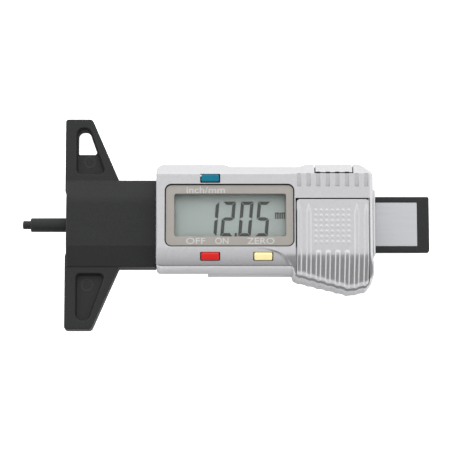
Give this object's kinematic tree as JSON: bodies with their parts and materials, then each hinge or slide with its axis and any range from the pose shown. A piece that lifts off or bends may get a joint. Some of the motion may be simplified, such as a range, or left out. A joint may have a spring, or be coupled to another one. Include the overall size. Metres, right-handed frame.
{
  "type": "tyre tread depth gauge",
  "caption": "Digital tyre tread depth gauge: silver casing with a segment display, coloured buttons and a battery cover, sliding black beam with a depth rod, winged base.",
  "frame": {"origin": "centre of the gauge's length and width, at the bottom of the casing's back face", "axes": "+X along the beam from the rod's tip to the beam's free end, +Y across the gauge towards the inch/mm button, +Z out of the display"},
  "size_m": [0.115, 0.06, 0.0154],
  "materials": {
    "silver_paint": "satin silver paint on moulded plastic",
    "black_plastic": "fine-grained black moulded plastic",
    "dark_plastic": "matt dark grey plastic",
    "tan_panel": "satin warm grey panel",
    "clear_panel": "clear window",
    "lcd_grey": "grey-green reflective segment display",
    "label_silver": "satin silver foil label",
    "board_green": "green printed circuit board",
    "copper": "etched copper scale track",
    "steel": "plain steel",
    "brass": "plain brass",
    "rubber": "soft dark rubber",
    "blue_button": "blue moulded plastic",
    "red_button": "red moulded plastic",
    "yellow_button": "yellow moulded plastic"
  },
  "bodies": {
    "casing": {"front_cover": "silver_paint", "back_cover": "silver_paint", "depth_base": "black_plastic", "inch_mm_dome": "steel", "power_dome": "steel", "zero_dome": "steel", "guide_frame": "silver_paint", "guide_spring": "brass", "display_frame": "tan_panel", "display_window": "clear_panel", "lcd_glass": "lcd_grey", "lcd_holder": "dark_plastic", "zebra_connector": "rubber", "circuit_board": "board_green", "controller_chip": "dark_plastic", "battery_cell": "steel", "battery_contact_negative": "brass", "battery_contact_positive": "brass", "port_connector": "dark_plastic", "case_screw_1": "steel", "case_screw_2": "steel", "case_screw_3": "steel", "case_screw_4": "steel", "base_screw_1": "steel", "base_screw_2": "steel"},
    "beam": {"beam": "black_plastic", "scale_track": "copper", "scale_label": "label_silver", "depth_rod": "black_plastic"},
    "battery_cover": {"battery_cover": "silver_paint"},
    "port_cover": {"port_cover": "silver_paint"},
    "inch_mm_button": {"inch_mm_button": "blue_button"},
    "power_button": {"power_button": "red_button"},
    "zero_button": {"zero_button": "yellow_button"}
  },
  "joints": [
    {"name": "depth_slide", "type": "slide", "parent": "casing", "child": "beam", "axis": [-1, 0, 0], "range_m": [-0.01205, 0.01335]},
    {"name": "battery_cover_slide", "type": "slide", "parent": "casing", "child": "battery_cover", "axis": [0, -1, 0], "range_m": [0, 0.028]},
    {"name": "port_cover_slide", "type": "slide", "parent": "casing", "child": "port_cover", "axis": [0, 1, 0], "range_m": [0, 0.006]},
    {"name": "inch_mm_press", "type": "slide", "parent": "casing", "child": "inch_mm_button", "axis": [0, 0, -1], "range_m": [0, 0.0005], "stiffness_N_per_m": 400},
    {"name": "power_press", "type": "slide", "parent": "casing", "child": "power_button", "axis": [0, 0.4067, -0.9135], "range_m": [0, 0.0005], "stiffness_N_per_m": 400},
    {"name": "zero_press", "type": "slide", "parent": "casing", "child": "zero_button", "axis": [0, 0.4067, -0.9135], "range_m": [0, 0.0005], "stiffness_N_per_m": 400}
  ]
}
